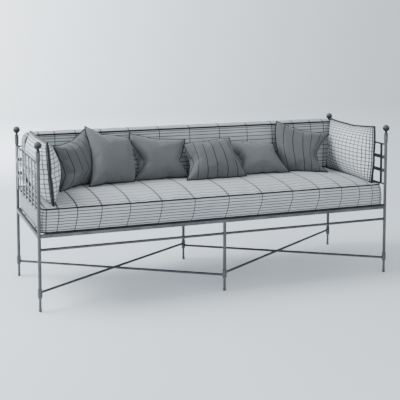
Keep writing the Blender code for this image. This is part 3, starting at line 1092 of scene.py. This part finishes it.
arm_places = {
    "left": {
        "top": ((-0.992, -0.290, 0.893), (-0.995, 0.210, 0.895)),
        "foot": ((-0.965, 0.212), (-0.965, -0.296)),
        "pulls": (0.03, 0.03, 0.04, 0.01),
        "thick": 0.168,
        "seed": 11,
        "cells": (12, 20),
    },
    "right": {
        "top": ((0.985, 0.210, 0.893), (1.012, -0.292, 0.893)),
        "foot": ((0.995, -0.292), (0.965, 0.212)),
        "pulls": (0.03, -0.04, 0.09, 0.01),
        "thick": 0.125,
        "seed": 12,
        "cells": (20, 24),
    },
}
soft_pieces = {}
rims = {}
for end, facts in arm_places.items():
    name = f"arm_cushion_{end}"
    pattern = arm_pattern(*facts["cells"])
    half_width, half_height = ARM_CUSHION_HALF
    piece, places, rim = double_panel(name + "_cover", half_width, half_height, pattern, facts["seed"])
    normal = normal_shape(piece, places, pressure=6.0, frames=24)
    corners_at = list(facts["top"]) + [seat_point(*spot) for spot in facts["foot"]]
    points = fitted(normal, places, corners_at, facts, 0.85, 0.15)
    points = press(points, seat_tree, BACK_Y, SIDE_X, 0.003)
    write_points(piece, points)
    soft_pieces[name] = piece
    rims[name] = rim
    print(name, "spans", np.round(np.ptp(points, axis=0), 3))

# %% [markdown]
# ## The six throw pillows
#
# Six smaller pillows lean along the back: two plain ones beside each other near the left, one plain on the
# right, and three with fine dark stripes. Each has its own lean, and several are chopped at the side. The
# outer ones are placed first, and the points of each later one are moved clear of those already there.


# %% Make the throw pillows
STRIPE_PITCH = 0.070


def stripe_pattern(across, up):
    cell, width = even_cells(across, STRIPE_PITCH, 0.0018)
    return (across, up), (cell, 0.5), (width, 0.0)


pillows = {
    "throw_pillow_1": {
        "top": ((-0.900, 0.020, 0.830), (-0.680, 0.190, 0.902)),
        "foot": ((-0.655, 0.120), (-0.876, -0.048)),
        "pulls": (0.50, 0.06, 0.20, 0.05),
        "folds": (-0.38, 0.0),
        "kink": 0.42,
        "thick": 0.135,
        "size": (0.205, 0.175),
    },
    "throw_pillow_2": {
        "top": ((-0.687, 0.155, 0.918), (-0.423, 0.150, 0.840)),
        "foot": ((-0.416, 0.055), (-0.700, 0.000)),
        "pulls": (0.20, -0.16, 0.12, 0.05),
        "folds": (-0.45, 0.0),
        "thick": 0.150,
        "size": (0.205, 0.185),
    },
    "throw_pillow_3": {
        "top": ((-0.406, 0.185, 0.857), (-0.048, 0.180, 0.806)),
        "foot": ((-0.050, 0.095), (-0.406, 0.090)),
        "pulls": (0.47, 0.33, 0.12, 0.03),
        "folds": (-0.30, -0.20),
        "above": 0.8,
        "thick": 0.140,
        "size": (0.21, 0.18),
    },
    "throw_pillow_4": {
        "top": ((-0.080, 0.120, 0.785), (0.225, 0.130, 0.808)),
        "foot": ((0.285, -0.010), (-0.110, -0.020)),
        "pulls": (0.34, 0.12, 0.03, 0.03),
        "folds": (-0.10, 0.0),
        "thick": 0.135,
        "size": (0.205, 0.16),
    },
    "throw_pillow_5": {
        "top": ((0.235, 0.200, 0.775), (0.530, 0.130, 0.757)),
        "foot": ((0.600, 0.030), (0.245, 0.050)),
        "pulls": (0.40, 0.16, 0.00, 0.03),
        "folds": (-0.20, 0.0),
        "thick": 0.130,
        "size": (0.20, 0.16),
    },
    "throw_pillow_6": {
        "top": ((0.575, 0.180, 0.893), (0.925, 0.120, 0.803)),
        "foot": ((0.840, -0.030), (0.575, 0.110)),
        "pulls": (-0.08, 0.72, 0.16, 0.03),
        "folds": (0.0, -0.30),
        "bow": -0.12,
        "thick": 0.140,
        "size": (0.205, 0.18),
    },
}
STRIPED = ("throw_pillow_1", "throw_pillow_4", "throw_pillow_6")
PLACING = (1, 2, 6, 4, 5, 3)
for number in PLACING:
    name = f"throw_pillow_{number}"
    facts = pillows[name]
    half_width, half_height = facts["size"]
    piece, places, rim = double_panel(name + "_cover", half_width, half_height, stripe_pattern, 20 + number)
    normal = normal_shape(piece, places, pressure=5.0, frames=24)
    corners_at = list(facts["top"]) + [seat_point(*spot) for spot in facts["foot"]]
    points = fitted(normal, places, corners_at, facts, 0.70, 0.30)
    points = press(points, seat_tree, BACK_Y, SIDE_X, 0.003)
    trees = [surface_tree(other) for other in soft_pieces.values()]
    moved = clear_of(points, trees, 0.004)
    points = press(points, seat_tree, BACK_Y, SIDE_X, 0.003)
    write_points(piece, points)
    soft_pieces[name] = piece
    rims[name] = rim
    print(name, "spans", np.round(np.ptp(points, axis=0), 3), "points moved clear:", moved)

# %% [markdown]
# ## Piping
#
# A cord covered in dark cloth is caught in every seam. It follows the rim of the cover that it's sewn to,
# so it is made from the settled rim itself. The seat and the back carry one cord in each of their two
# seams.


# %% Make the cords
PIPING_RADIUS = {"seat": 0.0040, "back": 0.0050, "arm": 0.0058, "throw": 0.0031}


def add_piping(name, cover, path, radius):
    """A cord along a closed path, which goes with its cover."""
    cord = tube_loop(name, path, radius)
    cord.parent = cover
    cord.matrix_parent_inverse = cover.matrix_world.inverted()
    lengths = [0.0]
    for number in range(len(path)):
        step = Vector(path[(number + 1) % len(path)]) - Vector(path[number])
        lengths.append(lengths[-1] + step.length)
    values = cord.data.uv_layers.new(name="cloth")
    sides = 10
    flat = []
    for number in range(len(path)):
        for side in range(sides):
            for along, round_share in ((0, 0), (0, 1), (1, 1), (1, 0)):
                flat += [lengths[number + along], (side + round_share) / sides * 2 * math.pi * radius]
    values.data.foreach_set("uv", flat)
    return cord


def lifted(path, dx=0.0, dy=0.0, dz=0.0):
    return np.asarray(path) + np.array((dx, dy, dz))


def spread(path, by):
    """The path moved outwards in plan."""
    ahead = np.roll(path, -1, axis=0) - np.roll(path, 1, axis=0)
    outward = np.column_stack([ahead[:, 1], -ahead[:, 0], np.zeros(len(path))])
    return path + by * outward / np.linalg.norm(outward, axis=1, keepdims=True)


cords = []
low_path = spread(lifted(piping_path(seat, seat_loops[0]), dz=0.0045), 0.0015)
cords.append((add_piping("seat_piping_low", seat, low_path, PIPING_RADIUS["seat"]), seat))
high_path = piping_path(seat, seat_loops[-1])
cords.append((add_piping("seat_piping_high", seat, high_path, PIPING_RADIUS["seat"]), seat))
front_path = piping_path(back, back_loops[-1])
cords.append((add_piping("back_piping_front", back, front_path, PIPING_RADIUS["back"]), back))
rear_path = lifted(piping_path(back, back_loops[0]), dy=-0.003)
cords.append((add_piping("back_piping_rear", back, rear_path, PIPING_RADIUS["back"]), back))
for name, piece in soft_pieces.items():
    radius = PIPING_RADIUS["arm" if name.startswith("arm") else "throw"]
    cords.append((add_piping(name + "_piping", piece, piping_path(piece, rims[name]), radius), piece))
print("cords:", len(cords))

# %% [markdown]
# ## Putting each soft piece in place
#
# Every cover is attached to the frame in place of one of its solids, which is hidden, and later takes its
# finish from one slot. Each cover then gets a subdivision that rounds it.


def declare(piece, node):
    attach(piece, "root")
    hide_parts(node)


declare(seat, "seat_cushion")
declare(back, "back_cushion")
for name, piece in soft_pieces.items():
    if name.startswith("arm"):
        declare(piece, name)
    else:
        declare(piece, name)
for piece in [seat, back] + list(soft_pieces.values()):
    refine(piece)
print("soft pieces:", 2 + len(soft_pieces))

# %% [markdown]
# ## Shader groups
#
# Three effects are shared by several materials, so each is a group with its own sockets: the weave of the
# cloth, the ruled lines, and the wear of painted metal with its top colour, which is painted shade on the
# frame. A group only puts out values; the material decides what they tint or roughen, and it keeps the
# shader itself.


# %% Helpers for node trees
def new_group(name, inputs, outputs):
    """An empty shader group with (name, type, default) inputs and (name, type) outputs."""
    tree = bpy.data.node_groups.new(name, "ShaderNodeTree")
    for title, kind, value in inputs:
        socket = tree.interface.new_socket(title, in_out="INPUT", socket_type=kind)
        if value is not None:
            socket.default_value = value
    for title, kind in outputs:
        tree.interface.new_socket(title, in_out="OUTPUT", socket_type=kind)
    return tree, tree.nodes.new("NodeGroupInput"), tree.nodes.new("NodeGroupOutput")


def put(tree, target, source):
    """Sets an input from a number, a colour or another node's output."""
    if isinstance(source, bpy.types.NodeSocket):
        tree.links.new(source, target)
    else:
        target.default_value = source


def calc(tree, operation, *sources, clamp=False):
    """A Math node's output."""
    node = tree.nodes.new("ShaderNodeMath")
    node.operation = operation
    node.use_clamp = clamp
    for socket, source in zip(node.inputs, sources):
        put(tree, socket, source)
    return node.outputs[0]


def mixed(tree, factor, first, second, blend="MIX"):
    """A colour mix."""
    node = tree.nodes.new("ShaderNodeMix")
    node.data_type = "RGBA"
    node.blend_type = blend
    put(tree, node.inputs[0], factor)
    put(tree, node.inputs[6], first)
    put(tree, node.inputs[7], second)
    return node.outputs[2]


def ranged(tree, value, low, high, out_low, out_high, smooth=False):
    """A Map Range node's output."""
    node = tree.nodes.new("ShaderNodeMapRange")
    if smooth:
        node.interpolation_type = "SMOOTHSTEP"
    for socket, source in zip(node.inputs, (value, low, high, out_low, out_high)):
        put(tree, socket, source)
    return node.outputs[0]


def noise(tree, vector, scale, detail=2.0, roughness=0.5):
    """A Noise Texture's value."""
    node = tree.nodes.new("ShaderNodeTexNoise")
    put(tree, node.inputs["Vector"], vector)
    put(tree, node.inputs["Scale"], scale)
    node.inputs["Detail"].default_value = detail
    node.inputs["Roughness"].default_value = roughness
    return node.outputs["Fac"]


def group_node(tree, group, **sources):
    """A group in a tree, with its named inputs set; underscores stand for spaces."""
    node = tree.nodes.new("ShaderNodeGroup")
    node.node_tree = group
    for title, source in sources.items():
        put(tree, node.inputs[title.replace("_", " ")], source)
    return node


print("node helpers ready")

# %% [markdown]
# ### The weave
#
# Plain weave is a chequer of warp over weft. The product of two sines along the panel gives that chequer as
# a height, and uneven yarns are noise stretched along each direction. A wide, faint noise is the way a
# large panel takes dye and light a little differently from place to place.

# %% Group: woven cloth
weave_tree, given, result = new_group(
    "woven cloth",
    [
        ("Vector", "NodeSocketVector", None),
        ("Yarns per metre", "NodeSocketFloat", 550.0),
        ("Unevenness", "NodeSocketFloat", 0.5),
    ],
    [("Height", "NodeSocketFloat"), ("Shade", "NodeSocketFloat"), ("Mottle", "NodeSocketFloat")],
)
scaled = weave_tree.nodes.new("ShaderNodeVectorMath")
scaled.operation = "SCALE"
put(weave_tree, scaled.inputs[0], given.outputs["Vector"])
put(weave_tree, scaled.inputs["Scale"], given.outputs["Yarns per metre"])
parts = weave_tree.nodes.new("ShaderNodeSeparateXYZ")
put(weave_tree, parts.inputs[0], scaled.outputs[0])
wave_x = calc(weave_tree, "SINE", calc(weave_tree, "MULTIPLY", parts.outputs["X"], math.pi))
wave_y = calc(weave_tree, "SINE", calc(weave_tree, "MULTIPLY", parts.outputs["Y"], math.pi))
chequer = calc(weave_tree, "MULTIPLY", wave_x, wave_y)
round_x = calc(weave_tree, "ABSOLUTE", wave_x)
round_y = calc(weave_tree, "ABSOLUTE", wave_y)
yarns = calc(weave_tree, "MULTIPLY", calc(weave_tree, "ADD", round_x, round_y), 0.25)
streaks = []
for stretch in ((14.0, 420.0, 1.0), (420.0, 14.0, 1.0)):
    stretched = weave_tree.nodes.new("ShaderNodeVectorMath")
    stretched.operation = "MULTIPLY"
    put(weave_tree, stretched.inputs[0], given.outputs["Vector"])
    stretched.inputs[1].default_value = stretch
    streaks.append(noise(weave_tree, stretched.outputs[0], 1.0, 2.0, 0.6))
slub = calc(weave_tree, "SUBTRACT", calc(weave_tree, "ADD", streaks[0], streaks[1]), 1.0)
slub = calc(weave_tree, "MULTIPLY", slub, given.outputs["Unevenness"])
height = calc(weave_tree, "MULTIPLY_ADD", chequer, 0.25, yarns)
height = calc(weave_tree, "ADD", height, slub)
shade = calc(weave_tree, "MULTIPLY_ADD", chequer, 0.06, 0.95)
shade = calc(weave_tree, "ADD", shade, calc(weave_tree, "MULTIPLY", slub, 0.5))
put(weave_tree, result.inputs["Height"], height)
put(weave_tree, result.inputs["Shade"], shade)
put(weave_tree, result.inputs["Mottle"], noise(weave_tree, given.outputs["Vector"], 5.0, 4.0, 0.6))
print("group:", weave_tree.name, "nodes:", len(weave_tree.nodes))

# %% [markdown]
# ### The ruled lines
#
# The cells are numbered, so a line lies wherever a cell coordinate is whole. Its distance from the nearest
# whole number, measured against the line's width there, gives the dark yarns, with a soft edge and a little
# waver as real yarns have.

# %% Group: ruled lines
lines_tree, given, result = new_group(
    "ruled lines",
    [
        ("Cells", "NodeSocketVector", None),
        ("Widths", "NodeSocketVector", None),
        ("Softness", "NodeSocketFloat", 1.2),
        ("Metres", "NodeSocketVector", None),
        ("Waver", "NodeSocketFloat", 0.0),
    ],
    [("Mask", "NodeSocketFloat")],
)
cell_parts = lines_tree.nodes.new("ShaderNodeSeparateXYZ")
put(lines_tree, cell_parts.inputs[0], given.outputs["Cells"])
width_parts = lines_tree.nodes.new("ShaderNodeSeparateXYZ")
put(lines_tree, width_parts.inputs[0], given.outputs["Widths"])
drift = calc(lines_tree, "SUBTRACT", noise(lines_tree, given.outputs["Metres"], 14.0, 1.0), 0.5)
masks = []
for axis in ("X", "Y"):
    waver = calc(lines_tree, "MULTIPLY", drift, given.outputs["Waver"])
    shift = calc(lines_tree, "MULTIPLY", waver, width_parts.outputs[axis])
    place = calc(lines_tree, "ADD", cell_parts.outputs[axis], shift)
    away = calc(lines_tree, "PINGPONG", calc(lines_tree, "ABSOLUTE", place), 0.5)
    width = calc(lines_tree, "MAXIMUM", width_parts.outputs[axis], 0.00001)
    outer = calc(lines_tree, "MULTIPLY", width, calc(lines_tree, "ADD", given.outputs["Softness"], 1.0))
    inner = calc(lines_tree, "MULTIPLY", width, 0.6)
    masks.append(ranged(lines_tree, away, inner, outer, 1.0, 0.0, True))
put(lines_tree, result.inputs["Mask"], calc(lines_tree, "MAXIMUM", masks[0], masks[1]))
print("group:", lines_tree.name, "nodes:", len(lines_tree.nodes))

# %% [markdown]
# ### Painted metal
#
# The frame is steel with a satin coat. The coat has a fine orange-peel grain, and it is rubbed a little
# lighter on outer edges. What faces up takes a top colour in patches and a rougher coat: on the frame that
# colour is painted shade, darker than the paint, and on the balls it is a lighter dust. The group takes the
# edge and the upward share from geometry and breaks both up with noise.

# %% Group: painted metal
metal_tree, given, result = new_group(
    "painted metal",
    [
        ("Vector", "NodeSocketVector", None),
        ("Grain size", "NodeSocketFloat", 700.0),
        ("Edge wear", "NodeSocketFloat", 0.6),
        ("Top dust and shade", "NodeSocketFloat", 1.6),
    ],
    [
        ("Wear", "NodeSocketFloat"),
        ("Top dust and shade", "NodeSocketFloat"),
        ("Height", "NodeSocketFloat"),
        ("Patch", "NodeSocketFloat"),
    ],
)
geometry = metal_tree.nodes.new("ShaderNodeNewGeometry")
patch = noise(metal_tree, given.outputs["Vector"], 18.0, 5.0, 0.65)
fine = noise(metal_tree, given.outputs["Vector"], given.outputs["Grain size"], 2.0, 0.5)
edge = ranged(metal_tree, geometry.outputs["Pointiness"], 0.52, 0.60, 0.0, 1.0)
broken = ranged(metal_tree, patch, 0.42, 0.62, 0.0, 1.0)
wear = calc(metal_tree, "MULTIPLY", calc(metal_tree, "MULTIPLY", edge, broken), given.outputs["Edge wear"])
facing = metal_tree.nodes.new("ShaderNodeSeparateXYZ")
put(metal_tree, facing.inputs[0], geometry.outputs["Normal"])
# Upward faces, in noise patches, take the top colour and a rougher coat; on the frame that is painted shade.
upward = ranged(metal_tree, facing.outputs["Z"], 0.0, 0.6, 0.0, 1.0)
top_dust_and_shade_amount = calc(metal_tree, "MULTIPLY", calc(metal_tree, "MULTIPLY", upward, patch), given.outputs["Top dust and shade"])
top_dust_and_shade = calc(metal_tree, "MINIMUM", top_dust_and_shade_amount, 0.9)
put(metal_tree, result.inputs["Wear"], wear)
put(metal_tree, result.inputs["Top dust and shade"], top_dust_and_shade)
put(metal_tree, result.inputs["Height"], calc(metal_tree, "MULTIPLY_ADD", patch, 0.5, fine))
put(metal_tree, result.inputs["Patch"], patch)
print("group:", metal_tree.name, "nodes:", len(metal_tree.nodes))

# %% [markdown]
# ## Materials
#
# All the cloth is cool grey: a light ground with dark lines for the box cushions, a paler one with a closer
# check for the arm cushions, and charcoal for the pillows. The metal is a satin grey, and the balls are
# darker.


# %% Make the materials
def new_material(name):
    """A material, its tree and its shader."""
    material = bpy.data.materials.new(name)
    material.use_nodes = True
    return material, material.node_tree, material.node_tree.nodes["Principled BSDF"]


def uv_vector(tree, name):
    node = tree.nodes.new("ShaderNodeUVMap")
    node.uv_map = name
    return node.outputs["UV"]


def bump(tree, height, strength, distance):
    """A Bump node's normal."""
    node = tree.nodes.new("ShaderNodeBump")
    node.inputs["Strength"].default_value = strength
    node.inputs["Distance"].default_value = distance
    put(tree, node.inputs["Height"], height)
    return node.outputs["Normal"]


def cloth_material(name, ground, deep, yarns, line=None, line_share=0.95, sheen=0.15, waver=0.6):
    """Woven cloth: a ground that varies towards a deeper tone, ruled where a line colour is given."""
    material, tree, shader = new_material(name)
    metres = uv_vector(tree, "cloth")
    woven = group_node(tree, weave_tree, Vector=metres, Yarns_per_metre=yarns, Unevenness=0.35)
    tone = ranged(tree, woven.outputs["Mottle"], 0.35, 0.7, 0.0, 1.0)
    colour = mixed(tree, tone, (*ground, 1), (*deep, 1))
    colour = mixed(tree, 1.0, colour, woven.outputs["Shade"], "MULTIPLY")
    height = woven.outputs["Height"]
    if line is not None:
        ruled = group_node(
            tree,
            lines_tree,
            Cells=uv_vector(tree, "cells"),
            Widths=uv_vector(tree, "line_widths"),
            Metres=metres,
            Waver=waver,
        )
        share = calc(tree, "MULTIPLY", ruled.outputs["Mask"], line_share)
        colour = mixed(tree, share, colour, (*line, 1))
        height = calc(tree, "MULTIPLY_ADD", ruled.outputs["Mask"], -0.8, height)
    put(tree, shader.inputs["Base Color"], colour)
    put(tree, shader.inputs["Roughness"], ranged(tree, woven.outputs["Height"], 0.0, 1.0, 0.95, 0.8))
    shader.inputs["Specular IOR Level"].default_value = 0.25
    shader.inputs["Sheen Weight"].default_value = sheen
    shader.inputs["Sheen Roughness"].default_value = 0.5
    put(tree, shader.inputs["Normal"], bump(tree, height, 0.6, 0.0008))
    return material


def metal_material(name, paint, bare, top_dust_and_shade_colour, roughness, metallic):
    """Painted metal with rubbed edges, and a top colour on its upper sides: painted shade where it is darker
    than the paint.
    """
    material, tree, shader = new_material(name)
    coordinates = tree.nodes.new("ShaderNodeTexCoord")
    painted = group_node(tree, metal_tree, Vector=coordinates.outputs["Object"])
    spread = ranged(tree, painted.outputs["Patch"], 0.3, 0.7, 0.85, 1.12)
    colour = mixed(tree, 1.0, (*paint, 1), spread, "MULTIPLY")
    colour = mixed(tree, painted.outputs["Wear"], colour, (*bare, 1))
    # Painted shade: the upper sides take the top colour, which on the frame is darker than the paint.
    colour = mixed(tree, painted.outputs["Top dust and shade"], colour, (*top_dust_and_shade_colour, 1))
    put(tree, shader.inputs["Base Color"], colour)
    shader.inputs["Metallic"].default_value = metallic
    rough = ranged(tree, painted.outputs["Patch"], 0.3, 0.7, roughness - 0.06, roughness + 0.08)
    put(tree, shader.inputs["Roughness"], calc(tree, "MULTIPLY_ADD", painted.outputs["Top dust and shade"], 0.3, rough))
    put(tree, shader.inputs["Normal"], bump(tree, painted.outputs["Height"], 0.35, 0.0004))
    return material


# The fourth colour of each metal tints what faces up: the frame's is painted shade, the balls' a lighter
# dust.
finishes = {
    "frame_metal": metal_material(
        "satin grey steel", (0.070, 0.074, 0.078), (0.22, 0.23, 0.24), (0.012, 0.013, 0.014), 0.42, 0.30
    ),
    "finial_metal": metal_material(
        "dark grey steel", (0.011, 0.012, 0.013), (0.14, 0.147, 0.155), (0.08, 0.085, 0.09), 0.40, 0.35
    ),
    "cushion_fabric": cloth_material(
        "ruled grey cloth", (0.400, 0.416, 0.428), (0.350, 0.364, 0.376), 520.0, (0.020, 0.022, 0.024)
    ),
    "arm_fabric": cloth_material(
        "checked pale cloth", (0.60, 0.62, 0.635), (0.53, 0.55, 0.564), 560.0, (0.02, 0.022, 0.024)
    ),
    "pillow_plain": cloth_material(
        "plain charcoal cloth", (0.112, 0.115, 0.118), (0.098, 0.101, 0.104), 480.0
    ),
    "pillow_stripe": cloth_material(
        "striped charcoal cloth", (0.097, 0.100, 0.103), (0.084, 0.087, 0.090), 480.0, (0.003, 0.003, 0.004)
    ),
    "piping": cloth_material("dark cord", (0.014, 0.015, 0.017), (0.010, 0.011, 0.012), 900.0),
}


def dress(piece, slot_name):
    """Gives every face of a piece its finish."""
    if not piece.material_slots:
        piece.data.materials.append(finishes[slot_name])
    for material_slot in piece.material_slots:
        material_slot.material = finishes[slot_name]


for piece, slot_name in metal_pieces:
    dress(piece, slot_name)
for node in ("seat_deck", "seat_cross_beam"):
    dress(frame["nodes"][node], "frame_metal")
for cord, _ in cords:
    dress(cord, "piping")
dress(seat, "cushion_fabric")
dress(back, "cushion_fabric")
for name, piece in soft_pieces.items():
    kind = "arm_fabric" if name.startswith("arm") else "pillow_stripe" if name in STRIPED else "pillow_plain"
    dress(piece, kind)
print("materials:", sorted(finishes))

# %% Print the box of the visible pieces and finish
low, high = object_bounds()
print("visual box:", [round(value, 4) for value in (*low, *high)])
